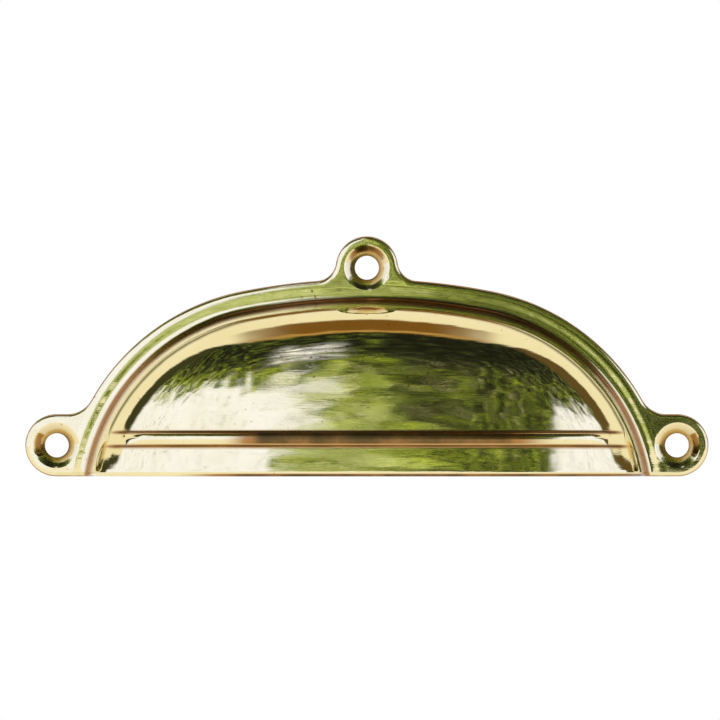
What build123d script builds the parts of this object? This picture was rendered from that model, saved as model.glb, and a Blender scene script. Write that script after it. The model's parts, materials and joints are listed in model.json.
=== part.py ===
"""Cup drawer pull: a polished brass casting with a hood, a bead and three screw ears on a flat flange.

Millimetres. X runs along the width, Z is up, and the flat back lies in the plane Y = 0 with the hood
standing out towards -Y. The origin is midway between the two lower screw holes, on the back.
"""
import os
from math import asin, cos, degrees, hypot, radians, sin, sqrt, tan

from build123d import *

# Screw holes, and the round ears that carry them
HOLE_DISTANCE = 90.0
TOP_HOLE_RISE = 25.8
HOLE_DIAMETER = 3.5
SINK_DIAMETER = 6.4
SINK_ANGLE = 90.0
EAR_RADIUS = 4.5
LOWER_EAR_FILLET = 4.0
TOP_EAR_FILLET = 3.0

# Flange: a flat plate whose upper edge is a broad crown arc between two shoulder arcs
FLANGE_THICKNESS = 2.2
FLANGE_INSET = 1.0
CROWN_DROP = 1.7
CROWN_RADIUS = 94.0
SHOULDER_RADIUS = 32.0

# Hood: one section carried round the arch, with a drafted wall, a rounded brow and a domed front whose
# crest lies just short of the centres of the shoulder arcs
HOOD_SETBACK = 2.5
HOOD_DEPTH = 20.0
HOOD_FILLET = 1.2
WALL_DRAFT = 13.0
BROW_RADIUS = 14.0
DOME_RADIUS = 44.0
CREST_GAP = 2.0
WALL = 2.0

# Bead across the front of the hood; it turns into the wall at both ends, and its section has many flat
# sides in place of a circle, which keeps its faces light
NECK_HEIGHT = 0.8
BEAD_RADIUS = 1.0
BEAD_SIDES = 20
BEAD_TURN_RADIUS = 7.0

# Breaks of the front edge all round, and of the inner edge of the lip
EDGE_BREAK = 0.4
LIP_BREAK = 0.35

# Sizes that follow from these
HALF_DISTANCE = HOLE_DISTANCE / 2
BOTTOM = -EAR_RADIUS
FLANGE_RISE = TOP_HOLE_RISE - CROWN_DROP
CROWN_Z = FLANGE_RISE - CROWN_RADIUS
SHOULDER_X = HALF_DISTANCE - FLANGE_INSET - SHOULDER_RADIUS
SHOULDER_Z = CROWN_Z + sqrt((CROWN_RADIUS - SHOULDER_RADIUS) ** 2 - SHOULDER_X**2)
LEAN = degrees(asin(SHOULDER_X / (CROWN_RADIUS - SHOULDER_RADIUS)))
CREST_INSET = SHOULDER_RADIUS - CREST_GAP
FOOT_INSET = HOOD_SETBACK + FLANGE_THICKNESS * tan(radians(WALL_DRAFT))

# How far shapes run past a cut, and how near an edge comes to a plane or a radius to count as on it
OVERRUN = 3.0
NEAR = 0.01


def edges_at(edges, axis, position):
    """The edges whose middle lies at this position along the axis."""
    return edges.filter_by_position(axis, position - NEAR, position + NEAR)


def innermost_pair(edges):
    """The two edges nearest to the plane of symmetry."""
    return edges.sort_by(lambda edge: abs(edge.center().X))[:2]


def blank():
    """A deep block with the outline of the flange: arch, ears and straight bottom edge."""
    foot = degrees(asin((BOTTOM - SHOULDER_Z) / SHOULDER_RADIUS))
    turn = 90 - LEAN - foot
    right = CenterArc((SHOULDER_X, SHOULDER_Z), SHOULDER_RADIUS, foot, turn)
    crown = CenterArc((0, CROWN_Z), CROWN_RADIUS, 90 - LEAN, 2 * LEAN)
    left = CenterArc((-SHOULDER_X, SHOULDER_Z), SHOULDER_RADIUS, 90 + LEAN, turn)
    outline = make_face([right, crown, left, Line(left @ 1, right @ 0)])
    outline += SlotCenterToCenter(HOLE_DISTANCE, 2 * EAR_RADIUS)
    outline += Pos(0, TOP_HOLE_RISE) * Rot(0, 0, -90) * Circle(EAR_RADIUS)
    block = extrude(Plane.XZ * outline, 2 * HOOD_DEPTH)
    block = fillet(innermost_pair(block.edges().filter_by(Axis.Y)), TOP_EAR_FILLET)
    at_ear_top = edges_at(block.edges().filter_by(Axis.Y), Axis.Z, EAR_RADIUS)
    return fillet(innermost_pair(at_ear_top), LOWER_EAR_FILLET)


def arc_about(centre, start, end):
    """The shorter arc about the centre from start to end."""
    middle = centre + (start + end - centre * 2).normalized() * (start - centre).length
    return ThreePointArc(start, middle, end)


def brow_points(inset):
    """Where the hood's section turns: foot, top of wall, start of dome, crest and both arcs' centres.

    X is the distance in from the flange's edge, Y the depth; the inset moves the section inwards.
    """
    up = Vector(sin(radians(WALL_DRAFT)), cos(radians(WALL_DRAFT)))
    inwards = Vector(up.Y, -up.X)
    foot = Vector(HOOD_SETBACK, 0)
    dome = Vector(CREST_INSET, HOOD_DEPTH - DOME_RADIUS)
    offset = foot + inwards * BROW_RADIUS - dome
    along = offset.dot(up)
    climb = sqrt(along**2 - offset.dot(offset) + (DOME_RADIUS - BROW_RADIUS) ** 2) - along
    brow = foot + up * climb + inwards * BROW_RADIUS
    wall_top = brow - inwards * (BROW_RADIUS - inset)
    dome_start = dome + (brow - dome).normalized() * (DOME_RADIUS - inset)
    crest = Vector(CREST_INSET, HOOD_DEPTH - inset)
    foot = Vector(HOOD_SETBACK + inset / up.Y, 0)
    return foot, wall_top, dome_start, crest, brow, dome


def hood_section(inset, end):
    """The face between the hood's section and the back, as far in as the end."""
    foot, wall_top, dome_start, crest, brow, dome = brow_points(inset)
    wall = Line(foot, wall_top)
    brow_arc = arc_about(brow, wall_top, dome_start)
    dome_arc = arc_about(dome, dome_start, crest)
    rest = Polyline(crest, (end, crest.Y), (end, 0), foot)
    return Rot(0, 0, 180) * make_face([wall, brow_arc, dome_arc, rest])


def hood_form(inset):
    """The hood as a solid: its section carried round the crown arc and both shoulder arcs."""
    crown = Pos(CROWN_RADIUS, 0) * hood_section(inset, FLANGE_RISE - BOTTOM + 2 * OVERRUN)
    crown = revolve(Rot(0, LEAN - 90, 0) * crown, -Axis.Y, 2 * LEAN)
    shoulder = Pos(SHOULDER_RADIUS, 0) * hood_section(inset, SHOULDER_RADIUS)
    shoulder = revolve(Rot(0, LEAN + 90, 0) * shoulder, -Axis.Y, 180)
    shoulder = Pos(SHOULDER_X, 0, SHOULDER_Z) * shoulder
    return Pos(0, 0, CROWN_Z) * crown + shoulder + mirror(shoulder, Plane.YZ)


def hooded_flange():
    """The hood on the flange, cut to the outline, with its front edge broken and its foot filleted."""
    reach = 2 * HOLE_DISTANCE
    slab = Box(reach, FLANGE_THICKNESS, reach, align=(Align.CENTER, Align.MAX, Align.CENTER))
    body = split(slab + hood_form(0), Plane.XY.offset(BOTTOM - OVERRUN), keep=Keep.TOP)
    block = blank()
    trimmed = body & block
    broken = chamfer(new_edges(body, block, combined=trimmed), EDGE_BREAK)
    arcs = edges_at(broken.edges(), Axis.Y, -FLANGE_THICKNESS).filter_by(GeomType.CIRCLE)
    foot_radii = (CROWN_RADIUS - FOOT_INSET, SHOULDER_RADIUS - FOOT_INSET)
    foot = [arc for arc in arcs if min(abs(arc.radius - radius) for radius in foot_radii) < NEAR]
    return fillet(foot, HOOD_FILLET)


def dome_depth(inset):
    """Depth of the dome at a distance in from the flange's edge."""
    return HOOD_DEPTH - DOME_RADIUS + sqrt(DOME_RADIUS**2 - (CREST_INSET - inset) ** 2)


def neck_path():
    """The plan of the hood at the height of the bead: arcs along the front that end sunk into the walls."""
    dome_start = brow_points(0)[2]
    rise = NECK_HEIGHT - SHOULDER_Z
    brow_x = SHOULDER_X + sqrt((SHOULDER_RADIUS - dome_start.X) ** 2 - rise**2)
    crown_x = SHOULDER_X + rise * tan(radians(LEAN))
    crown_depth = dome_depth(SHOULDER_RADIUS - hypot(crown_x - SHOULDER_X, rise))
    middle = (0, -dome_depth(FLANGE_RISE - NECK_HEIGHT))
    crown = ThreePointArc((-crown_x, -crown_depth), middle, (crown_x, -crown_depth))
    dome = TangentArc(crown @ 1, (brow_x, -dome_start.Y), tangent=crown % 1)
    slope = degrees(asin((dome % 1).Y))
    turn = JernArc(dome @ 1, dome % 1, BEAD_TURN_RADIUS, 90 - slope)
    tail = Line(turn @ 1, ((turn @ 1).X, 0))
    right = [dome.edge(), turn.edge(), tail.edge()]
    left = [edge.mirror(Plane.YZ) for edge in right]
    return Pos(0, 0, NECK_HEIGHT) * Wire([*left, crown.edge(), *right])


def bead():
    """A rounded cord of metal across the hood."""
    path = neck_path()
    return sweep(Plane(path ^ 0) * RegularPolygon(BEAD_RADIUS, BEAD_SIDES), path=path)


def screw_hole(x, z):
    """A countersunk clearance hole through the flange."""
    hole_radius = HOLE_DIAMETER / 2
    sink_radius = SINK_DIAMETER / 2
    sink_depth = (sink_radius - hole_radius) / tan(radians(SINK_ANGLE / 2))
    shank = Cylinder(hole_radius, 2 * FLANGE_THICKNESS)
    sink = Cone(hole_radius, sink_radius, sink_depth, align=(Align.CENTER, Align.CENTER, Align.MAX))
    return Plane.XZ * Pos(x, z) * (shank + Pos(0, 0, FLANGE_THICKNESS) * sink)


def cup_pull():
    """The whole casting: the hooded flange with its bead, cored to an even wall and drilled."""
    casting = hooded_flange() + bead()
    core = hood_form(WALL)
    cored = casting - core
    mouth = new_edges(casting, core, combined=cored)
    casting = chamfer(edges_at(mouth, Axis.Z, BOTTOM), LIP_BREAK)
    for x, z in ((-HALF_DISTANCE, 0), (HALF_DISTANCE, 0), (0, TOP_HOLE_RISE)):
        casting -= screw_hole(x, z)
    return casting


os.makedirs("parts", exist_ok=True)
export_step(cup_pull(), "parts/cup_pull.step")
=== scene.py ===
"""Looks of the cup drawer pull: a smooth skin, brass, mirrored surroundings, floor, light and camera."""

import json
import math

import bmesh
import bpy
import numpy as np
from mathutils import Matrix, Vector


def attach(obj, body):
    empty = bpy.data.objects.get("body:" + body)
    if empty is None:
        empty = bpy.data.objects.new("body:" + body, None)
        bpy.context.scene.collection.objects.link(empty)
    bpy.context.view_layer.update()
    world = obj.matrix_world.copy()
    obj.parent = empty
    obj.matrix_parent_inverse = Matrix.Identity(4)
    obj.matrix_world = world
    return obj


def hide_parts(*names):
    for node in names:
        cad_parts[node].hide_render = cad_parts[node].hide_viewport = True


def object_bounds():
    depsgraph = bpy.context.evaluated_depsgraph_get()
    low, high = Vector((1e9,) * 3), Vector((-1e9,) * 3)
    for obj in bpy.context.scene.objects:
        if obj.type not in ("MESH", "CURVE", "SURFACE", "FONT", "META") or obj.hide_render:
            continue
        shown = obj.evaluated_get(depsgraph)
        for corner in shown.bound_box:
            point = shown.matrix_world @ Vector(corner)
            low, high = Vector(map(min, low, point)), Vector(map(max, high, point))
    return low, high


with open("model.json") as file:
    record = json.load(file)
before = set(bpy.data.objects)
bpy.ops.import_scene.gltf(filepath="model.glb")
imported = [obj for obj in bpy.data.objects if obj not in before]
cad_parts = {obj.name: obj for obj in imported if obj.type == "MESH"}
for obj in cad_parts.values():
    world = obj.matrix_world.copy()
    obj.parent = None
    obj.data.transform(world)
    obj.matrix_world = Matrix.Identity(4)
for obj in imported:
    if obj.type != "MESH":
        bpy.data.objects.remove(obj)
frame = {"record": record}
cad_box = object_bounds()
mounts = {mount["name"]: mount for mount in frame["record"]["mounts"]}

# Metres to the millimetre
MM = 0.001

# Driving sizes of the casting in millimetres, the same as those of its solid
HALF_DISTANCE = mounts["lower_screw_holes"]["dims"]["spacing_x_mm"] / 2
HOLE_RADIUS = mounts["lower_screw_holes"]["dims"]["hole_r_mm"]
TOP_HOLE = mounts["top_screw_hole"]["pos_m"][2] / MM
SINK_RADIUS = 3.2
EAR_RADIUS = 4.5
LOWER_EAR_FILLET = 4.0
TOP_EAR_FILLET = 3.0
FLANGE = 2.2
FLANGE_INSET = 1.0
CROWN_DROP = 1.7
CROWN_RADIUS = 94.0
SHOULDER_RADIUS = 32.0
SETBACK = 2.5
DEPTH = 20.0
FILLET = 1.2
DRAFT = math.radians(13.0)
BROW = 14.0
DOME = 44.0
CREST_GAP = 2.0
WALL = 2.0
NECK = 0.8
BEAD = 1.0
LIP = 0.35

# Small forms that only the skin has: rounds of the edges, swell of the flange, fillets and ends of the bead
EDGE = 0.6
FLANGE_CROWN = 0.05
BEAD_FILLET = 0.25
BEAD_FADE = 4.8

# Rounded rim of a countersink: its size, and its steps as shares of that behind the face and past the radius
SINK_RIM = 0.18
SINK_RIM_STEPS = ((1.0, -1.0), (0.3, 0.1), (-0.2, 0.9))

# Sizes that follow
BOTTOM = -EAR_RADIUS
RISE = TOP_HOLE - CROWN_DROP
CROWN_Z = RISE - CROWN_RADIUS
SHOULDER_X = HALF_DISTANCE - FLANGE_INSET - SHOULDER_RADIUS
SHOULDER_Z = CROWN_Z + math.sqrt((CROWN_RADIUS - SHOULDER_RADIUS) ** 2 - SHOULDER_X**2)
LEAN = math.asin(SHOULDER_X / (CROWN_RADIUS - SHOULDER_RADIUS))
CREST = SHOULDER_RADIUS - CREST_GAP
CAVITY_FOOT = SETBACK + WALL / math.cos(DRAFT)
HOLES = ((-HALF_DISTANCE, 0.0), (HALF_DISTANCE, 0.0), (0.0, TOP_HOLE))

# Directions
DOWN = np.array([0.0, 0.0, -1.0])
AHEAD = np.array([0.0, -1.0, 0.0])

# Fineness of the skin: columns along the outline, and rows round the casting
COLUMNS = 481
FRONT_ROWS = 84
BEAD_ROWS = 15
BEAD_FILLET_ROWS = 4
SKIRT_ROWS = 10
ROUND_ROWS = 6
LIP_ROWS = 4
FLAT_ROWS = 3
CAVITY_ROWS = 44
HOLE_SEGMENTS = 96

# Sampling in millimetres: counts, steps, how much a turn of the section counts as length, and its limit
SAMPLES = 1200
BOTTOM_SAMPLES = 40001
ARC_STEP = 0.1
SLOPE_STEP = 1e-4
TURN_WEIGHT = 3.0
TURN_LIMIT = 0.3
TINY = 1e-12

# The two rows over the bead, and the share of a short column that the rows of bead and skirt take up
OVER_BEAD = (0.35, 0.15)
LOW_SHARE = 0.6

# Joining of points in metres, how far a hole's cutter runs past both faces, and where shading breaks
MERGE = 2e-7
OVERRUN = 1.0
SHARP_ANGLE = math.radians(32)


def arc_points(centre, radius, start, end):
    """Points and inward normals along an arc; a negative radius marks a hollow arc."""
    count = max(2, int(abs(end - start) * abs(radius) / ARC_STEP))
    angle = np.linspace(start, end, count)
    out = np.stack([np.cos(angle), np.sin(angle)], 1)
    return np.array(centre) + abs(radius) * out, -np.sign(radius) * out


def running(lengths):
    """Lengths added up from zero along the last axis."""
    start = np.zeros((*lengths.shape[:-1], 1))
    return np.concatenate([start, np.cumsum(lengths, axis=-1)], -1)


def outline():
    """Evenly spaced points and inward normals along the outline, left lower ear to right lower ear."""
    ear = (-HALF_DISTANCE, 0.0)
    shoulder = (-SHOULDER_X, SHOULDER_Z)
    hollow_z = EAR_RADIUS + LOWER_EAR_FILLET
    reach = SHOULDER_RADIUS + LOWER_EAR_FILLET
    hollow = (-SHOULDER_X - math.sqrt(reach**2 - (hollow_z - SHOULDER_Z) ** 2), hollow_z)
    turn = math.atan2(hollow[1] - SHOULDER_Z, hollow[0] + SHOULDER_X)
    crown_reach = CROWN_RADIUS + TOP_EAR_FILLET
    ear_reach = EAR_RADIUS + TOP_EAR_FILLET
    gap = TOP_HOLE - CROWN_Z
    up = (crown_reach**2 - ear_reach**2 + gap**2) / (2 * gap)
    side = -math.sqrt(crown_reach**2 - up**2)
    notch = (side, CROWN_Z + up)
    crown_end = math.atan2(up, side)
    ear_start = math.atan2(notch[1] - TOP_HOLE, side)
    pieces = [
        arc_points(ear, EAR_RADIUS, -math.pi / 2, -3 * math.pi / 2),
        (np.array([[ear[0], EAR_RADIUS], [hollow[0], EAR_RADIUS]]), np.array([[0.0, -1.0]] * 2)),
        arc_points(hollow, -LOWER_EAR_FILLET, -math.pi / 2, turn - math.pi),
        arc_points(shoulder, SHOULDER_RADIUS, turn, math.pi / 2 + LEAN),
        arc_points((0.0, CROWN_Z), CROWN_RADIUS, math.pi / 2 + LEAN, crown_end),
        arc_points(notch, -TOP_EAR_FILLET, crown_end - math.pi, ear_start - math.pi),
        arc_points((0.0, TOP_HOLE), EAR_RADIUS, ear_start, math.pi / 2),
    ]
    points = np.concatenate([piece[0] for piece in pieces])
    normals = np.concatenate([piece[1] for piece in pieces])
    points = np.concatenate([points, points[-2::-1] * (-1, 1)])
    normals = np.concatenate([normals, normals[-2::-1] * (-1, 1)])
    run = running(np.linalg.norm(np.diff(points, axis=0), axis=1))
    at = np.linspace(0, run[-1], COLUMNS)
    points = np.stack([np.interp(at, run, points[:, i]) for i in (0, 1)], 1)
    normals = np.stack([np.interp(at, run, normals[:, i]) for i in (0, 1)], 1)
    return points, normals / np.linalg.norm(normals, axis=1)[:, None]


def inset_of(x, z):
    """How far a point of the front view lies in from the arch of the flange."""
    x = np.abs(x)
    crown = CROWN_RADIUS - np.hypot(x, z - CROWN_Z)
    shoulder = SHOULDER_RADIUS - np.hypot(x - SHOULDER_X, z - SHOULDER_Z)
    in_crown = x * (SHOULDER_Z - CROWN_Z) < SHOULDER_X * (z - CROWN_Z)
    return np.where(in_crown, crown, shoulder)


def brow_centre():
    """Centre of the arc that joins the drafted wall and the dome, as inset and depth."""
    up = np.array([math.sin(DRAFT), math.cos(DRAFT)])
    inwards = np.array([up[1], -up[0]])
    offset = (SETBACK, 0.0) + inwards * BROW - (CREST, DEPTH - DOME)
    along = offset @ up
    climb = math.sqrt(along**2 - offset @ offset + (DOME - BROW) ** 2) - along
    return (SETBACK, 0.0) + up * climb + inwards * BROW


def dome_start(thick):
    """Inset at which the brow passes into the dome, in the section moved inwards by the thickness."""
    brow_q, brow_p = brow_centre()
    reach = math.hypot(brow_q - CREST, brow_p - (DEPTH - DOME))
    return CREST + (brow_q - CREST) * (DOME - thick) / reach


def hood_depth(inset, thick):
    """Depth of the hood's section alone, moved inwards by the thickness: wall, brow and dome."""
    brow_q, brow_p = brow_centre()
    brow = BROW - thick
    dome = DOME - thick
    foot = SETBACK + thick / math.cos(DRAFT)
    wall_top = brow_q - brow * math.cos(DRAFT)
    on_wall = (inset - foot) / math.tan(DRAFT)
    on_brow = brow_p + np.sqrt(np.maximum(brow**2 - (inset - brow_q) ** 2, 0))
    on_dome = DEPTH - DOME + np.sqrt(np.maximum(dome**2 - (inset - CREST) ** 2, 0))
    depth = np.where(inset < wall_top, on_wall, np.where(inset < dome_start(thick), on_brow, on_dome))
    return np.where(inset > CREST, DEPTH - thick, depth)


def outer_depth(inset):
    """Depth of the front: flange with its swell, fillet and hood."""
    fillet_top = FLANGE + FILLET * (1 - math.sin(DRAFT))
    fillet_end = SETBACK + fillet_top * math.tan(DRAFT)
    fillet_start = fillet_end - FILLET * math.cos(DRAFT)
    on_fillet = FLANGE + FILLET - np.sqrt(np.maximum(FILLET**2 - (inset - fillet_start) ** 2, 0))
    on_flange = FLANGE + FLANGE_CROWN * np.sin(math.pi * np.clip(inset / fillet_start, 0, 1)) ** 2
    on_hood = hood_depth(inset, 0)
    return np.where(inset < fillet_start, on_flange, np.where(inset < fillet_end, on_fillet, on_hood))


def inner_depth(inset):
    """Depth of the cavity behind the hood, zero outside it."""
    return np.maximum(hood_depth(inset, WALL), 0)


def outward(x, z, depth_of):
    """Unit normals of a surface given by its depth over the inset, pointing away from the back."""
    run_x = depth_of(inset_of(x + SLOPE_STEP, z)) - depth_of(inset_of(x - SLOPE_STEP, z))
    run_z = depth_of(inset_of(x, z + SLOPE_STEP)) - depth_of(inset_of(x, z - SLOPE_STEP))
    normal = np.stack([-run_x / (2 * SLOPE_STEP), -np.ones_like(x), -run_z / (2 * SLOPE_STEP)], -1)
    return normal / np.linalg.norm(normal, axis=-1, keepdims=True)


def flat_unit(normal):
    """The part of a normal that lies level, made unit length."""
    level = normal * (1, 1, 0)
    return level / np.linalg.norm(level, axis=-1, keepdims=True)


def on_way(start, end, share):
    """Points of the front view at shares of the way from each start to its end, as X and Z."""
    x = start[:, :1] + (end - start)[:, :1] * share
    z = start[:, 1:] + (end - start)[:, 1:] * share
    return x, z


def even_steps(x, z, depth_of, count):
    """For each column of samples, places along it spaced evenly by length and by turn of the section."""
    y = -depth_of(inset_of(x, z))
    steps = np.stack([np.diff(x, axis=1), np.diff(y, axis=1), np.diff(z, axis=1)], -1)
    weight = np.linalg.norm(steps, axis=-1) + TINY
    turn = np.linalg.norm(np.diff(steps / weight[..., None], axis=1), axis=-1)
    weight[:, 1:] += np.minimum(turn, TURN_LIMIT) * TURN_WEIGHT
    at = np.linspace(0, 1, count)
    places = np.linspace(0, 1, x.shape[1])
    return np.stack([np.interp(at * row[-1], row, places) for row in running(weight)])


def straight(start, end):
    """Rows in even steps from start to end, without the start."""
    return start + (end - start) * np.linspace(0, 1, FLAT_ROWS + 1)[None, 1:, None]


def quarter(count):
    """Angles of the rows over a quarter turn, without the first."""
    return np.linspace(0, math.pi / 2, count + 1)[None, 1:, None]


def bead_rows():
    """Heights across the bead and how far each stands out: a half round with a small fillet on both sides."""
    reach = math.sqrt((BEAD + BEAD_FILLET) ** 2 - BEAD_FILLET**2)
    half = math.acos(BEAD_FILLET / (BEAD + BEAD_FILLET))
    turn = np.linspace(0, half, BEAD_FILLET_ROWS + 1)[:-1]
    fillet = np.stack([reach - BEAD_FILLET * np.sin(turn), BEAD_FILLET * (1 - np.cos(turn))], 1)
    turn = np.linspace(half, -half, BEAD_ROWS)
    cord = np.stack([BEAD * np.sin(turn), BEAD * np.cos(turn)], 1)
    return np.concatenate([fillet, cord, fillet[::-1] * (-1, 1)])


def bottom_places():
    """Places along the bottom edge, evenly spaced along its front, with one at each end of the cavity."""
    x = np.linspace(-HALF_DISTANCE, HALF_DISTANCE, BOTTOM_SAMPLES)
    run = running(np.hypot(np.diff(x), np.diff(outer_depth(inset_of(x, BOTTOM)))))
    places = np.interp(np.linspace(0, 1, COLUMNS) * run[-1], run, x)
    reach = math.sqrt((SHOULDER_RADIUS - CAVITY_FOOT) ** 2 - (BOTTOM - SHOULDER_Z) ** 2)
    for side in (-SHOULDER_X - reach, SHOULDER_X + reach):
        places[np.argmin(np.abs(places - side))] = side
    return places


def front_face(edge, inwards, foot_x):
    """Rows over flange, hood and bead, from the upper edge's round to the lip, and the last row's normals."""
    start = edge + EDGE * inwards
    end = np.stack([foot_x, np.full(COLUMNS, BOTTOM + EDGE)], 1)
    bead = bead_rows()
    over = NECK + bead[0, 0] + np.array(OVER_BEAD)
    under = np.linspace(NECK + bead[-1, 0], BOTTOM + EDGE, SKIRT_ROWS + 1)[1:]
    levels = np.concatenate([over, NECK + bead[:, 0], under])
    stand = np.concatenate([np.zeros(FRONT_ROWS + 1), bead[:, 1], np.zeros(SKIRT_ROWS)])
    fall = np.maximum(start[:, 1] - end[:, 1], TINY)
    scale = np.minimum(1 / fall, LOW_SHARE / (over[0] - end[:, 1]))
    low_share = 1 - (levels[None, :] - end[:, 1:]) * scale[:, None]
    x, z = on_way(start, end, np.linspace(0, 1, SAMPLES)[None, :] * low_share[:, :1])
    high_share = even_steps(x, z, outer_depth, FRONT_ROWS)[:, :-1] * low_share[:, :1]
    x, z = on_way(start, end, np.concatenate([high_share, low_share], 1))
    normal = outward(x, z, outer_depth)
    brow_x = SHOULDER_X + math.sqrt((SHOULDER_RADIUS - dome_start(0)) ** 2 - (NECK - SHOULDER_Z) ** 2)
    fade = np.clip(1 - (np.maximum(np.abs(x) - brow_x, 0) / BEAD_FADE) ** 2, 0, 1)
    front = np.stack([x, -outer_depth(inset_of(x, z)), z], -1)
    front += normal * (stand[None, :] * fade)[..., None]
    return front, normal[:, -1:]


def lip_rows(front_end, normal, foot_x):
    """Rows round the lip, the outer round, flat underside and inner round, and the heights at its end."""
    level = flat_unit(normal)
    angle = quarter(ROUND_ROWS)
    outer = front_end - EDGE * level + EDGE * (np.cos(angle) * level + np.sin(angle) * DOWN)
    small = np.minimum(LIP, inner_depth(inset_of(foot_x, BOTTOM)) / 2)
    inner_z = BOTTOM + small
    end = np.stack([foot_x, -inner_depth(inset_of(foot_x, inner_z)), inner_z], 1)[:, None]
    into = -flat_unit(outward(foot_x, inner_z, inner_depth))[:, None]
    small = small[:, None, None]
    centre = end - small * into
    flat = straight(outer[:, -1:], centre + small * DOWN)
    angle = quarter(LIP_ROWS)
    inner = centre + small * (np.sin(angle) * into + np.cos(angle) * DOWN)
    return outer, flat, inner, inner_z


def cavity_rows(edge, foot_x, inner_z):
    """Rows up the inside of the hood to the plane of the back."""
    low = np.stack([foot_x, inner_z], 1)
    share = np.linspace(0, 1, SAMPLES)
    inset = inset_of(*on_way(low, edge, share[None, :]))
    rim = [np.interp(-CAVITY_FOOT, -row, share) if row[0] > CAVITY_FOOT else 0 for row in inset]
    rim = np.array(rim)[:, None]
    x, z = on_way(low, edge, share[None, :] * rim)
    x, z = on_way(low, edge, even_steps(x, z, inner_depth, CAVITY_ROWS)[:, 1:] * rim)
    cavity = np.stack([x, -inner_depth(inset_of(x, z)), z], -1)
    cavity[:, -1, 1] = 0
    return cavity


def in_plane(points):
    """Points of the front view as places in the plane of the back, one row of them."""
    return np.stack([points[:, 0], np.zeros(COLUMNS), points[:, 1]], 1)[:, None]


def skin():
    """Rings of points round the casting, one for each place along the outline, and which rows are as cast."""
    edge, inwards = outline()
    foot_x = bottom_places()
    front, normal = front_face(edge, inwards, foot_x)
    lip, lip_flat, lip_inner, inner_z = lip_rows(front[:, -1:], normal, foot_x)
    cavity = cavity_rows(edge, foot_x, inner_z)
    back_edge = in_plane(edge)
    back = straight(cavity[:, -1:], back_edge)
    side_end = back_edge + (FLANGE - EDGE) * AHEAD
    side = straight(back_edge, side_end)
    inward = in_plane(inwards)
    angle = quarter(ROUND_ROWS)[:, :-1]
    side_round = side_end + EDGE * inward + EDGE * (np.sin(angle) * AHEAD - np.cos(angle) * inward)
    polished = np.concatenate([front, lip, lip_flat], 1)
    cast = np.concatenate([lip_inner, cavity, back], 1)
    rings = np.concatenate([polished, cast, side, side_round], 1)
    row = np.arange(rings.shape[1]) - polished.shape[1]
    low, high = np.array(cad_box) / MM
    return np.clip(rings, low, high), (row >= 0) & (row < cast.shape[1])


def new_object(name, points, faces):
    """A mesh object in the scene from points in millimetres."""
    mesh = bpy.data.meshes.new(name)
    mesh.from_pydata((points * MM).tolist(), [], faces)
    made = bpy.data.objects.new(name, mesh)
    bpy.context.scene.collection.objects.link(made)
    return made


def lathe(name, profile, place):
    """A closed turned solid about the Y axis through a place, with a profile of Y and radius."""
    angle = np.linspace(0, 2 * math.pi, HOLE_SEGMENTS, endpoint=False)
    points = []
    for y, radius in profile:
        points += [(place[0] + radius * math.cos(a), y, place[1] + radius * math.sin(a)) for a in angle]
    last = len(points) - 1
    faces = [tuple(range(HOLE_SEGMENTS)), tuple(range(last, last - HOLE_SEGMENTS, -1))]
    for ring in range(len(profile) - 1):
        low = ring * HOLE_SEGMENTS
        high = low + HOLE_SEGMENTS
        for i in range(HOLE_SEGMENTS):
            j = (i + 1) % HOLE_SEGMENTS
            faces.append((low + i, high + i, high + j, low + j))
    return new_object(name, np.array(points), faces)


def tidy_mesh(mesh, merge=0.0):
    """Joins points that lie within the merge distance, drops empty faces and turns all faces outwards."""
    work = bmesh.new()
    work.from_mesh(mesh)
    if merge:
        bmesh.ops.remove_doubles(work, verts=work.verts, dist=merge)
        bmesh.ops.dissolve_degenerate(work, edges=work.edges, dist=merge)
    bmesh.ops.recalc_face_normals(work, faces=work.faces)
    work.to_mesh(mesh)
    work.free()


def drill(body, material):
    """Cuts the countersunk screw holes out of the body."""
    rim = [(-FLANGE + SINK_RIM * back, SINK_RADIUS + SINK_RIM * past) for back, past in SINK_RIM_STEPS]
    profile = [
        (OVERRUN, HOLE_RADIUS),
        (-FLANGE + SINK_RADIUS - HOLE_RADIUS, HOLE_RADIUS),
        *rim,
        (-FLANGE - OVERRUN, rim[-1][1]),
    ]
    for number, place in enumerate(HOLES):
        cutter = lathe(f"hole_{number}", profile, place)
        tidy_mesh(cutter.data)
        cutter.data.materials.append(material)
        hole = body.modifiers.new("hole", "BOOLEAN")
        hole.operation = "DIFFERENCE"
        hole.solver = "EXACT"
        hole.object = cutter
        bpy.context.view_layer.update()
        cut = body.evaluated_get(bpy.context.evaluated_depsgraph_get())
        cut = bpy.data.meshes.new_from_object(cut)
        body.modifiers.clear()
        body.data = cut
        bpy.data.objects.remove(cutter)


def build_skin(name, polished, cast):
    """The skin as one closed mesh object in two materials, with the screw holes cut out of it."""
    points, cast_rows = skin()
    columns, rows = points.shape[:2]
    index = np.arange(columns * rows).reshape(columns, rows)
    after = np.roll(index, -1, axis=1)
    quads = np.stack([index[:-1], index[1:], after[1:], after[:-1]], -1).reshape(-1, 4)
    body = new_object(name, points.reshape(-1, 3), quads.tolist())
    body.data.polygons.foreach_set("material_index", np.tile(cast_rows, columns - 1).astype(np.int32))
    body.data.materials.append(polished)
    body.data.materials.append(cast)
    tidy_mesh(body.data, MERGE)
    drill(body, polished)
    body.data.polygons.foreach_set("use_smooth", np.ones(len(body.data.polygons), bool))
    body.data.set_sharp_from_angle(angle=SHARP_ANGLE)
    return body


# Brown marks as shares of full strength: patina that polishing leaves at the foot of the hood and in the
# holes, painted shade in the bead's grooves, and painted reflections on the bead's face, along the outer
# edge, along the bottom edge and up the lower wall of the hood
FOOT_PATINA_AND_REFLECTION = 0.66
PAINTED_BEAD_REFLECTION = 0.92
HOLE_STAIN = 0.4
PAINTED_EDGE_REFLECTION = 0.74
PAINTED_LIP_REFLECTION = 0.9
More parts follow.
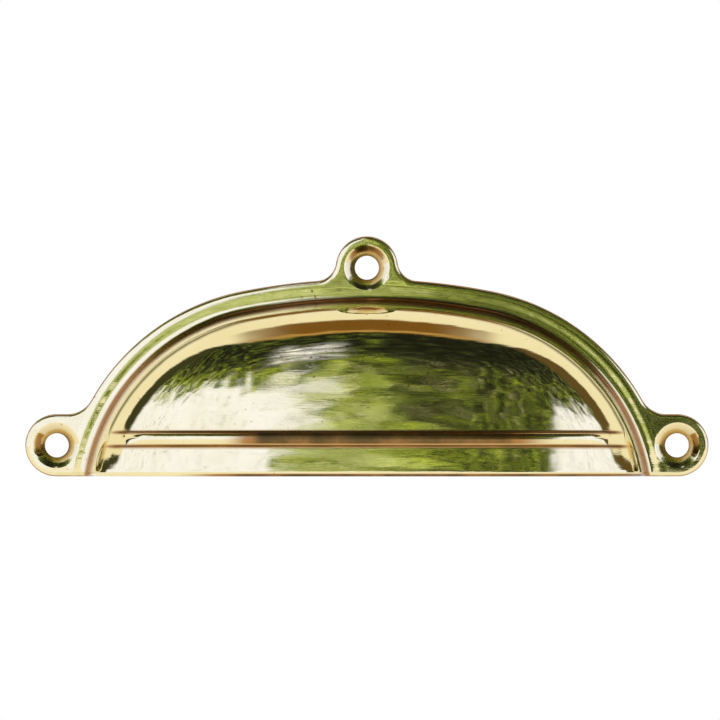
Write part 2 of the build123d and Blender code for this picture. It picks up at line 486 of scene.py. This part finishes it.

# Where each of these brown marks is none and where it is full, in millimetres from what the name says
FROM_FOOT_OUTWARDS = (-0.6, -0.1)
FROM_FOOT_INWARDS = (1.8, 1.3)
FROM_FLANGE_AHEAD = (6.0, 1.5)
FROM_FLANGE_BACK = (0.1, 0.35)
FROM_BEAD_DOWN = (-0.8, -0.6)
FROM_BEAD_UP = (1.2, 0.9)
FROM_BOTTOM_UP = (0.5, 0.3)
FROM_SINK = (0.1, -0.6)
ROUND_SINK = (0.6, 0.2)
BEAD_DEPTH = (8.0, 12.0)
BEAD_LEFT = (-22.0, -14.0)
BEAD_RIGHT = (29.0, 18.0)
LIP_DEPTH = (4.0, 6.0)
LIP_LEFT = (-30.0, -16.0)
GROOVE_WIDTH = 0.25


def blend(low, high, value):
    """Zero at the low value and one at the high one, smooth between; the low one may be the greater."""
    t = np.clip((value - low) / (high - low), 0, 1)
    return t * t * (3 - 2 * t)


def mark_patina_and_painted_shade(mesh):
    """Stores how brown each point is made: patina at the foot of the hood and in the holes, painted shade in
    the grooves of the bead, and painted reflections on its face, along the outer edge, along the bottom edge
    and up the lower wall of the hood.
    """
    places = np.empty(len(mesh.vertices) * 3)
    mesh.vertices.foreach_get("co", places)
    x, y, z = places.reshape(-1, 3).T / MM
    depth = -y
    inset = inset_of(x, z)
    # Patina in the fillet at the foot of the hood, with a painted brown reflection up the lower wall
    from_foot = inset - (SETBACK + FLANGE * math.tan(DRAFT))
    foot = blend(*FROM_FOOT_OUTWARDS, from_foot) * blend(*FROM_FOOT_INWARDS, from_foot)
    foot *= blend(*FROM_FLANGE_AHEAD, depth - FLANGE)
    on_bead = blend(*BEAD_DEPTH, depth) * (inset > 0)
    # Painted shade: dark lines in the grooves on both sides of the bead
    painted_groove_shade = np.exp(-(((np.abs(z - NECK) - BEAD) / GROOVE_WIDTH) ** 2)) * on_bead
    # Painted reflection: a brown band over the face of the bead, fading out to the left and right
    bead_face_reflection = blend(*FROM_BEAD_DOWN, z - NECK) * blend(*FROM_BEAD_UP, z - NECK) * on_bead
    bead_face_reflection *= blend(*BEAD_LEFT, x) * blend(*BEAD_RIGHT, x)
    from_sink = np.min([np.hypot(x - hole_x, z - hole_z) for hole_x, hole_z in HOLES], 0) - SINK_RADIUS
    in_hole = blend(*FROM_SINK, from_sink)
    # Painted reflection: a dark outline along the flange's outer edge, kept off the countersinks
    edge = blend(*FROM_FLANGE_BACK, FLANGE - depth) * (1 - blend(*ROUND_SINK, from_sink))
    # Painted reflection: a dark line along the bottom edge of the hood, fading out to the left
    lip = blend(*FROM_BOTTOM_UP, z - BOTTOM) * blend(*LIP_DEPTH, depth) * blend(*LIP_LEFT, x)
    shares = [
        FOOT_PATINA_AND_REFLECTION * foot,
        painted_groove_shade,
        PAINTED_BEAD_REFLECTION * bead_face_reflection,
        HOLE_STAIN * in_hole,
        PAINTED_EDGE_REFLECTION * edge,
        PAINTED_LIP_REFLECTION * lip,
    ]
    marks = mesh.attributes.new("patina_and_painted_shade", "FLOAT", "POINT")
    marks.data.foreach_set("value", np.maximum.reduce(shares))


# Places of the colour sockets of a mix node
FIRST_COLOUR = 6
SECOND_COLOUR = 7
MIXED_COLOUR = 2


class Nodes:
    """Adds nodes to one tree. Values are sockets or numbers, colours are sockets or tuples."""

    def __init__(self, tree):
        self.tree = tree
        tree.nodes.clear()

    def add(self, kind, links=None, **values):
        """A node with its properties and plain inputs set and the given sockets linked into it."""
        made = self.tree.nodes.new(kind)
        for key, value in values.items():
            if hasattr(made, key):
                setattr(made, key, value)
            else:
                made.inputs[key.replace("_", " ")].default_value = value
        for place, socket in (links or {}).items():
            self.tree.links.new(socket, made.inputs[place])
        return made

    def put(self, value, socket):
        """Links a socket into an input, or sets the number or colour there."""
        if isinstance(value, bpy.types.NodeSocket):
            self.tree.links.new(value, socket)
        else:
            socket.default_value = (*value, 1) if isinstance(value, tuple) else value

    def calc(self, operation, *values):
        """A math node."""
        made = self.add("ShaderNodeMath", operation=operation)
        for socket, value in zip(made.inputs, values):
            self.put(value, socket)
        return made.outputs[0]

    def plus(self, first, second):
        """The sum."""
        return self.calc("ADD", first, second)

    def minus(self, first, second):
        """The difference."""
        return self.calc("SUBTRACT", first, second)

    def times(self, first, second):
        """The product."""
        return self.calc("MULTIPLY", first, second)

    def most(self, first, second):
        """The greater one."""
        return self.calc("MAXIMUM", first, second)

    def ease(self, value, low, high):
        """Zero at the low value and one at the high one, smooth between; the low one may be the greater."""
        limits = {"From_Min": low, "From_Max": high}
        made = self.add("ShaderNodeMapRange", {"Value": value}, interpolation_type="SMOOTHSTEP", **limits)
        return made.outputs[0]

    def near(self, value, middle, none, full):
        """One about the middle, zero further off."""
        return self.ease(self.calc("ABSOLUTE", self.minus(value, middle)), none, full)

    def stretch(self, value, source, target):
        """Maps a range of values to another one."""
        limits = {"From_Min": source[0], "From_Max": source[1], "To_Min": target[0], "To_Max": target[1]}
        return self.add("ShaderNodeMapRange", {"Value": value}, **limits).outputs[0]

    def ramp(self, value, stops):
        """A colour ramp with stops of position and colour, in order."""
        made = self.add("ShaderNodeValToRGB", {0: value})
        points = made.color_ramp.elements
        for place, (position, colour) in enumerate(stops):
            stop = points[place] if place < len(points) else points.new(position)
            stop.position = position
            stop.color = (*colour, 1)
        return made.outputs[0]

    def mix(self, factor, first, second):
        """A mixture of two colours."""
        made = self.add("ShaderNodeMix", {"Factor": factor}, data_type="RGBA")
        self.put(first, made.inputs[FIRST_COLOUR])
        self.put(second, made.inputs[SECOND_COLOUR])
        return made.outputs[MIXED_COLOUR]

    def mix_shaders(self, factor, first, second):
        """A mixture of the outputs of two shader nodes."""
        links = {0: factor, 1: first.outputs[0], 2: second.outputs[0]}
        return self.add("ShaderNodeMixShader", links)

    def places(self):
        """Coordinates of the object."""
        return self.add("ShaderNodeTexCoord").outputs["Object"]

    def noise(self, place, pattern):
        """Noise over the coordinates: its cells to the metre, one number or three, detail and roughness."""
        cells, detail, roughness = pattern
        if isinstance(cells, tuple):
            place = self.add("ShaderNodeMapping", {"Vector": place}, Scale=cells).outputs[0]
            cells = 1.0
        values = {"Scale": cells, "Detail": detail, "Roughness": roughness}
        return self.add("ShaderNodeTexNoise", {"Vector": place}, **values).outputs[0]

    def bump(self, height, form, normal=None):
        """A bump; the form is its height in metres and its strength. It adds to a normal if one is given."""
        distance, strength = form
        links = {"Height": height, "Normal": normal} if normal else {"Height": height}
        return self.add("ShaderNodeBump", links, Distance=distance, Strength=strength).outputs[0]

    def metal(self, colour, rough, normal):
        """A metal shader."""
        links = {"Base Color": colour, "Roughness": rough, "Normal": normal}
        return self.add("ShaderNodeBsdfPrincipled", links, Metallic=1.0)

    def seen_directly(self):
        """One for rays from the camera and for mirrored or transmitted ones, zero for the rest."""
        path = self.add("ShaderNodeLightPath")
        seen = self.most(path.outputs["Is Camera Ray"], path.outputs["Is Glossy Ray"])
        return self.most(seen, path.outputs["Is Transmission Ray"])

    def finish(self, shader, output="ShaderNodeOutputMaterial"):
        """Links a shader node into a new output."""
        self.add(output, {"Surface": shader.outputs[0]})


def new_material(name):
    """An empty node material and its nodes."""
    material = bpy.data.materials.new(name)
    material.use_nodes = True
    return material, Nodes(material.node_tree)


# The middle of all noise and the range that it mostly keeps to
NOISE_MIDDLE = 0.5
NOISE_RANGE = (0.3, 0.7)

# Polished brass: patterns as cells to the metre, along X, Y and Z where there are three, detail and roughness
WAVES = ((90, 120, 260), 2.0, 0.5)
STREAKS = ((250, 900, 5200), 4.0, 0.6)
CLOUDS = (160.0, 5.0, 0.6)
GRAIN = (2600.0, 3.0, 0.6)
PITS = (1100.0, 2.0, 0.5)

# Polished brass: bumps as height in metres and strength
WAVE_BUMP = (0.00016, 0.5)
STREAK_BUMP = (0.000008, 0.5)
GRAIN_BUMP = (0.000004, 0.3)

# Polished brass: colours, patina with painted shade and painted reflections, and roughness
BRASS_TONES = ((0.3, (0.86, 0.74, 0.40)), (0.7, (0.90, 0.79, 0.47)))
PIT_LEVEL = (0.30, 0.24)
PIT_STAIN = 0.5
PATINA_AND_SHADE_PATCHES = (0.85, 1.1)
WARM_RANGE = (0.0, 0.7)
WARM_PATINA_AND_SHADE = (0.42, 0.21, 0.065)
DARK_RANGE = (0.72, 0.98)
DARK_PATINA_AND_SHADE = (0.12, 0.080, 0.030)
STREAK_ROUGHNESS = (0.02, 0.05)
CLOUD_RANGE = (0.35, 0.7)
CLOUD_ROUGHNESS = (0.0, 0.02)
PATINA_AND_SHADE_ROUGHNESS = 0.28


def polished_brass():
    """Hand polished cast brass: level streaks, a little waviness, small pits, patina in the recesses, and
    painted shade and painted reflections on the bead and along the edges.
    """
    material, nodes = new_material("polished_brass")
    place = nodes.places()
    patina_and_painted_shade = nodes.add("ShaderNodeAttribute", attribute_name="patina_and_painted_shade").outputs["Fac"]
    waves = nodes.noise(place, WAVES)
    streaks = nodes.noise(place, STREAKS)
    cloud = nodes.noise(place, CLOUDS)
    grain = nodes.noise(place, GRAIN)
    pits = nodes.ease(nodes.noise(place, PITS), *PIT_LEVEL)
    # Brown from the stored marks (patina with painted shade and painted reflections), broken up in patches
    # and joined with the pits
    patina_shade_and_pits = nodes.times(patina_and_painted_shade, nodes.stretch(cloud, NOISE_RANGE, PATINA_AND_SHADE_PATCHES))
    patina_shade_and_pits = nodes.calc("MINIMUM", nodes.most(patina_shade_and_pits, nodes.times(pits, PIT_STAIN)), 1.0)
    colour = nodes.mix(nodes.ease(patina_shade_and_pits, *WARM_RANGE), nodes.ramp(cloud, BRASS_TONES), WARM_PATINA_AND_SHADE)
    colour = nodes.mix(nodes.ease(patina_shade_and_pits, *DARK_RANGE), colour, DARK_PATINA_AND_SHADE)
    rough = nodes.stretch(streaks, NOISE_RANGE, STREAK_ROUGHNESS)
    rough = nodes.plus(rough, nodes.stretch(cloud, CLOUD_RANGE, CLOUD_ROUGHNESS))
    rough = nodes.plus(rough, nodes.times(patina_shade_and_pits, PATINA_AND_SHADE_ROUGHNESS))
    normal = nodes.bump(waves, WAVE_BUMP)
    normal = nodes.bump(streaks, STREAK_BUMP, normal)
    normal = nodes.bump(grain, GRAIN_BUMP, normal)
    nodes.finish(nodes.metal(colour, rough, normal))
    return material


# Brass as cast: patterns and bumps as above, colours and roughness
SAND = (2200.0, 5.0, 0.7)
CAST_CLOUDS = (180.0, 6.0, 0.65)
SAND_BUMP = (0.00015, 0.7)
DENT_BUMP = (0.0003, 0.4)
CAST_TONES = ((0.30, (0.30, 0.185, 0.065)), (0.52, (0.50, 0.345, 0.13)), (0.75, (0.62, 0.45, 0.19)))
SAND_ROUGHNESS = (0.38, 0.58)


def cast_brass():
    """The inside and the back as cast: dull, darker and sandy."""
    material, nodes = new_material("cast_brass")
    place = nodes.places()
    cloud = nodes.noise(place, CAST_CLOUDS)
    sand = nodes.noise(place, SAND)
    normal = nodes.bump(cloud, DENT_BUMP, nodes.bump(sand, SAND_BUMP))
    rough = nodes.stretch(sand, NOISE_RANGE, SAND_ROUGHNESS)
    nodes.finish(nodes.metal(nodes.ramp(cloud, CAST_TONES), rough, normal))
    return material


# Surroundings: the shell in metres, patterns as above, and how far thickets shift what they border
SHELL_RADIUS = 1.0
SHELL_BOTTOM = -0.2
SHELL_SEGMENTS = 96
LEAVES = ((30, 30, 75), 4.0, 0.6)
SPRAY = ((40, 40, 64), 4.0, 0.6)
GLINTS = ((12, 12, 50), 2.0, 0.5)
THICKETS = (15.0, 6.0, 0.62)
SIDE_SHIFT = 0.20
HEIGHT_SHIFT = 0.55
LIME_SHIFT = 0.10

# Leaves: where each change of their tint is none and where it is full, and how much it adds
LEAF_RANGE = (0.38, 0.62)
LEAF_TINTS = (0.08, 0.86)
LIME_LEAN = 0.03
LIME_SIDE = (0.028, -0.008)
LIME_TOP = (0.84, 0.62)
STREAK_Z = 0.33
STREAK_WIDTH = (0.10, 0.03)
STREAK_END = (0.42, 0.30)
STREAK_SHARE = 0.5
LIME_GAIN = 0.13
HIGH_BOTTOM = (0.64, 0.90)
HIGH_GAIN = -0.27
LOW_SIDE = (0.02, 0.05)
LOW_TOP = (0.14, 0.06)
LOW_GAIN = -0.10
RIGHT_SIDE = (0.01, 0.06)
RIGHT_GAIN = -0.09
DEEP_BOTTOM = (0.20, 0.35)
DEEP_GAIN = -0.06
FLANGE_SIDE = (0.048, 0.030)
FLANGE_TOP = (0.060, 0.045)
FLANGE_GAIN = 0.12
LEAF_TONES = (
    (0.20, (0.014, 0.016, 0.011)),
    (0.38, (0.040, 0.054, 0.028)),
    (0.52, (0.095, 0.145, 0.045)),
    (0.64, (0.33, 0.46, 0.040)),
    (0.80, (0.66, 0.88, 0.12)),
    (0.95, (1.0, 1.05, 1.1)),
)
SPECK_LEVEL = (0.61, 0.66)
SPECK_TOP = (0.90, 0.74)
SPECK_COLOUR = (0.75, 0.80, 0.55)

# Sky: its borders at both sides and at the gap in the leaves high up
LEFT_SKY_SIDE = (-0.05, -0.10)
LEFT_SKY_TOP = (0.70, 0.62)
LEFT_SKY_BACK = (0.13, 0.08)
RIGHT_SKY_SIDE = (0.56, 0.62)
RIGHT_SKY_TOP = (0.62, 0.52)
RIGHT_SKY_BACK = (0.06, 0.0)
TWIG_LEVEL = (0.36, 0.41)
GAP_X = -0.10
GAP_Z = 0.86
GAP_WIDTH = (0.07, 0.04)
GAP_HEIGHT = (0.10, 0.05)
GLINT_LEVEL = (0.48, 0.53)
SKY_COLOUR = (1.10, 1.20, 1.75)

# Bench behind, and the dark strips between it and the sky at both sides
SKIRT_TOP = (0.26, 0.16)
SKIRT_SHIFT = 0.28
STRIP_FRONT = (0.02, 0.12)
STRIP_SIDE = (0.30, 0.50)
STRIP_CHANGE = (-0.1, 0.1)
LEFT_STRIP = (0.050, 0.055, 0.024)
RIGHT_STRIP = (0.13, 0.088, 0.034)
BROWN = (0.21, 0.105, 0.022)
CREAM = (1.0, 0.98, 0.88)
OLIVE = (0.16, 0.15, 0.05)
RIM_COLOUR = (0.52, 0.33, 0.12)
MIDDLE_TONES = ((0.33, BROWN), (0.38, CREAM), (0.68, CREAM), (0.74, BROWN))
SIDE_TONES = ((0.0, CREAM), (0.62, CREAM), (0.72, OLIVE), (0.80, CREAM), (0.90, OLIVE), (1.0, OLIVE))
MIDDLE_SIDE = (0.34, 0.12)
MIDDLE_BOTTOM = (0.2, 0.4)
BENCH_SIDE = (0.10, 0.65)
BENCH_BACK = 0.38
BEAD_Z = 0.34
BEAD_WIDTH = (0.075, 0.045)
BEAD_FORTH = 0.27
BENCH_BORDER = (-0.08, -0.03)
RIM_FRONT = (-0.06, -0.03)
RIM_BACK = (0.03, 0.0)


def leaf_colour(nodes, place, x, z, shift, spray):
    """Leaves: lime from the middle to the left, dark high up and to the right, with light specks."""
    lean = nodes.minus(nodes.plus(x, nodes.times(shift, LIME_SHIFT)), nodes.times(z, LIME_LEAN))
    height = nodes.plus(z, nodes.times(shift, HEIGHT_SHIFT))
    lime = nodes.times(nodes.ease(lean, *LIME_SIDE), nodes.ease(height, *LIME_TOP))
    streak = nodes.times(nodes.near(z, STREAK_Z, *STREAK_WIDTH), STREAK_SHARE)
    right = nodes.ease(x, *RIGHT_SIDE)
    changes = [
        (nodes.most(lime, nodes.times(streak, nodes.ease(x, *STREAK_END))), LIME_GAIN),
        (nodes.ease(z, *HIGH_BOTTOM), HIGH_GAIN),
        (nodes.times(nodes.ease(x, *LOW_SIDE), nodes.ease(z, *LOW_TOP)), LOW_GAIN),
        (right, RIGHT_GAIN),
        (nodes.times(right, nodes.ease(z, *DEEP_BOTTOM)), DEEP_GAIN),
        (nodes.times(nodes.ease(x, *FLANGE_SIDE), nodes.ease(z, *FLANGE_TOP)), FLANGE_GAIN),
    ]
    tint = nodes.stretch(nodes.noise(place, LEAVES), LEAF_RANGE, LEAF_TINTS)
    for share, gain in changes:
        tint = nodes.plus(tint, nodes.times(share, gain))
    specks = nodes.times(nodes.ease(spray, *SPECK_LEVEL), nodes.ease(z, *SPECK_TOP))
    return nodes.mix(specks, nodes.ramp(tint, LEAF_TONES), SPECK_COLOUR)


def sky_share(nodes, place, x, z, shift, spray, y_skirt):
    """How far the sky shows: at both sides with twigs in front of it, and as glints in a gap high up."""
    side = nodes.plus(x, nodes.times(shift, SIDE_SHIFT))
    height = nodes.plus(z, nodes.times(shift, HEIGHT_SHIFT))
    left = nodes.times(nodes.ease(side, *LEFT_SKY_SIDE), nodes.ease(height, *LEFT_SKY_TOP))
    left = nodes.times(left, nodes.ease(y_skirt, *LEFT_SKY_BACK))
    right = nodes.times(nodes.ease(side, *RIGHT_SKY_SIDE), nodes.ease(height, *RIGHT_SKY_TOP))
    right = nodes.times(right, nodes.ease(y_skirt, *RIGHT_SKY_BACK))
    sky = nodes.times(nodes.most(left, right), nodes.ease(spray, *TWIG_LEVEL))
    gap = nodes.times(nodes.near(x, GAP_X, *GAP_WIDTH), nodes.near(z, GAP_Z, *GAP_HEIGHT))
    glints = nodes.ease(nodes.noise(place, GLINTS), *GLINT_LEVEL)
    return nodes.most(sky, nodes.times(gap, glints))


def surround_colour(nodes):
    """Colour of the surroundings: leaves and sky in front, dark strips at the sides, a pale bench behind.

    X is to the right, Y to the back and Z up, in metres from the middle of the shell.
    """
    place = nodes.places()
    x, y, z = nodes.add("ShaderNodeSeparateXYZ", {0: place}).outputs[:3]
    away = nodes.calc("ABSOLUTE", x)
    shift = nodes.minus(nodes.noise(place, THICKETS), NOISE_MIDDLE)
    spray = nodes.noise(place, SPRAY)
    y_skirt = nodes.minus(y, nodes.times(nodes.ease(z, *SKIRT_TOP), SKIRT_SHIFT))
    leaves = leaf_colour(nodes, place, x, z, shift, spray)
    front = nodes.mix(sky_share(nodes, place, x, z, shift, spray, y_skirt), leaves, SKY_COLOUR)
    shade = nodes.mix(nodes.ease(x, *STRIP_CHANGE), LEFT_STRIP, RIGHT_STRIP)
    strip = nodes.times(nodes.ease(y_skirt, *STRIP_FRONT), nodes.ease(away, *STRIP_SIDE))
    front = nodes.mix(strip, front, shade)
    middle = nodes.times(nodes.ease(away, *MIDDLE_SIDE), nodes.ease(z, *MIDDLE_BOTTOM))
    bench = nodes.mix(middle, nodes.ramp(y, SIDE_TONES), nodes.ramp(y, MIDDLE_TONES))
    back = nodes.minus(BENCH_BACK, nodes.times(nodes.near(z, BEAD_Z, *BEAD_WIDTH), BEAD_FORTH))
    behind = nodes.minus(y_skirt, nodes.times(nodes.ease(away, *BENCH_SIDE), back))
    colour = nodes.mix(nodes.ease(behind, *BENCH_BORDER), front, bench)
    rim = nodes.times(nodes.ease(behind, *RIM_FRONT), nodes.ease(behind, *RIM_BACK))
    return nodes.mix(nodes.times(rim, middle), colour, RIM_COLOUR)


def surround():
    """A shell with the surroundings that the polished metal mirrors, seen by mirrored rays only."""
    material, nodes = new_material("surround")
    nodes.finish(nodes.add("ShaderNodeEmission", {"Color": surround_colour(nodes)}, Strength=1.0))
    bpy.ops.mesh.primitive_uv_sphere_add(
        segments=SHELL_SEGMENTS, ring_count=SHELL_SEGMENTS // 2, radius=SHELL_RADIUS
    )
    shell = bpy.context.object
    shell.name = "surround"
    work = bmesh.new()
    work.from_mesh(shell.data)
    gone = [vertex for vertex in work.verts if vertex.co.z < SHELL_BOTTOM]
    bmesh.ops.delete(work, geom=gone, context="VERTS")
    work.to_mesh(shell.data)
    work.free()
    shell.data.materials.append(material)
    shell.visible_camera = False
    shell.visible_diffuse = False
    shell.visible_shadow = False
    shell.visible_transmission = False
    return shell


# Floor in metres: its radius, where it begins to pass into white and where it has, and shares of white
FLOOR_RADIUS = 0.16
FLOOR_SEGMENTS = 96
FLOOR_FADE = (0.045, 0.14)
FLOOR_WHITE = (0.72, 1.0)
FLOOR_COLOUR = (0.86, 0.86, 0.86, 1)


def pale_floor():
    """A round pale floor under the pull that passes into plain white away from it; clear from below."""
    bpy.ops.mesh.primitive_circle_add(
        vertices=FLOOR_SEGMENTS, radius=FLOOR_RADIUS, fill_type="NGON", location=(0, 0, BOTTOM * MM)
    )
    floor = bpy.context.object
    floor.name = "floor"
    material, nodes = new_material("floor")
    reach = nodes.add("ShaderNodeVectorMath", {0: nodes.places()}, operation="LENGTH").outputs["Value"]
    plain = nodes.stretch(nodes.ease(reach, *FLOOR_FADE), (0.0, 1.0), FLOOR_WHITE)
    matt = nodes.add("ShaderNodeBsdfDiffuse", Color=FLOOR_COLOUR)
    white = nodes.add("ShaderNodeEmission", Strength=1.0)
    upper = nodes.mix_shaders(nodes.times(nodes.seen_directly(), plain), matt, white)
    below = nodes.add("ShaderNodeNewGeometry").outputs["Backfacing"]
    nodes.finish(nodes.mix_shaders(below, upper, nodes.add("ShaderNodeBsdfTransparent")))
    floor.data.materials.append(material)
    return floor


# Strength of the white world as a light; to the eye it has a strength of one
WORLD_LIGHT = 0.55


def white_world():
    """White to the eye and in the metal, and softer as a light."""
    world = bpy.data.worlds.new("studio")
    bpy.context.scene.world = world
    world.use_nodes = True
    nodes = Nodes(world.node_tree)
    white = nodes.add("ShaderNodeBackground", Color=(1, 1, 1, 1), Strength=1.0)
    soft = nodes.add("ShaderNodeBackground", Color=(1, 1, 1, 1), Strength=WORLD_LIGHT)
    nodes.finish(nodes.mix_shaders(nodes.seen_directly(), soft, white), "ShaderNodeOutputWorld")


# Lamps: size and places in metres, powers in watts
LAMP_SIZE = 0.6
KEY_PLACE = (-0.5, -0.6, 0.7)
KEY_POWER = 9.0
FILL_PLACE = (0.6, -0.5, 0.5)
FILL_POWER = 5.0


def lamp(name, place, power):
    """A square soft lamp that points at the pull and isn't itself mirrored in the metal."""
    data = bpy.data.lights.new(name, "AREA")
    data.size = LAMP_SIZE
    data.energy = power
    made = bpy.data.objects.new(name, data)
    bpy.context.scene.collection.objects.link(made)
    made.location = place
    made.rotation_euler = (-made.location).to_track_quat("-Z", "Y").to_euler()
    made.visible_glossy = False
    return made


# Camera in millimetres; its rise and the picture's centre are measured from the bottom edge
CAMERA_DISTANCE = 700.0
CAMERA_X = -1.0
CAMERA_RISE = 1.0
PICTURE_WIDTH = 104.6
PICTURE_CENTRE = 16.9
SENSOR_WIDTH = 36.0


def frontal_camera():
    """The camera at the photograph's angle: in front, just above the floor, tilted up a little."""
    data = bpy.data.cameras.new("camera")
    camera = bpy.data.objects.new("camera", data)
    bpy.context.scene.collection.objects.link(camera)
    data.sensor_width = SENSOR_WIDTH
    data.lens = SENSOR_WIDTH * CAMERA_DISTANCE / PICTURE_WIDTH
    camera.location = (CAMERA_X * MM, -CAMERA_DISTANCE * MM, (BOTTOM + CAMERA_RISE) * MM)
    tilt = math.atan2(PICTURE_CENTRE - CAMERA_RISE, CAMERA_DISTANCE)
    camera.rotation_euler = (math.pi / 2 + tilt, 0, 0)
    return camera


pull = build_skin("cup_pull_skin", polished_brass(), cast_brass())
mark_patina_and_painted_shade(pull.data)
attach(pull, "root")
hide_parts("cup_pull")

white_world()
key = lamp("key_lamp", KEY_PLACE, KEY_POWER)
fill = lamp("fill_lamp", FILL_PLACE, FILL_POWER)
pale_floor()
surround()
bpy.context.scene.camera = frontal_camera()
bpy.context.scene.view_settings.view_transform = "Standard"
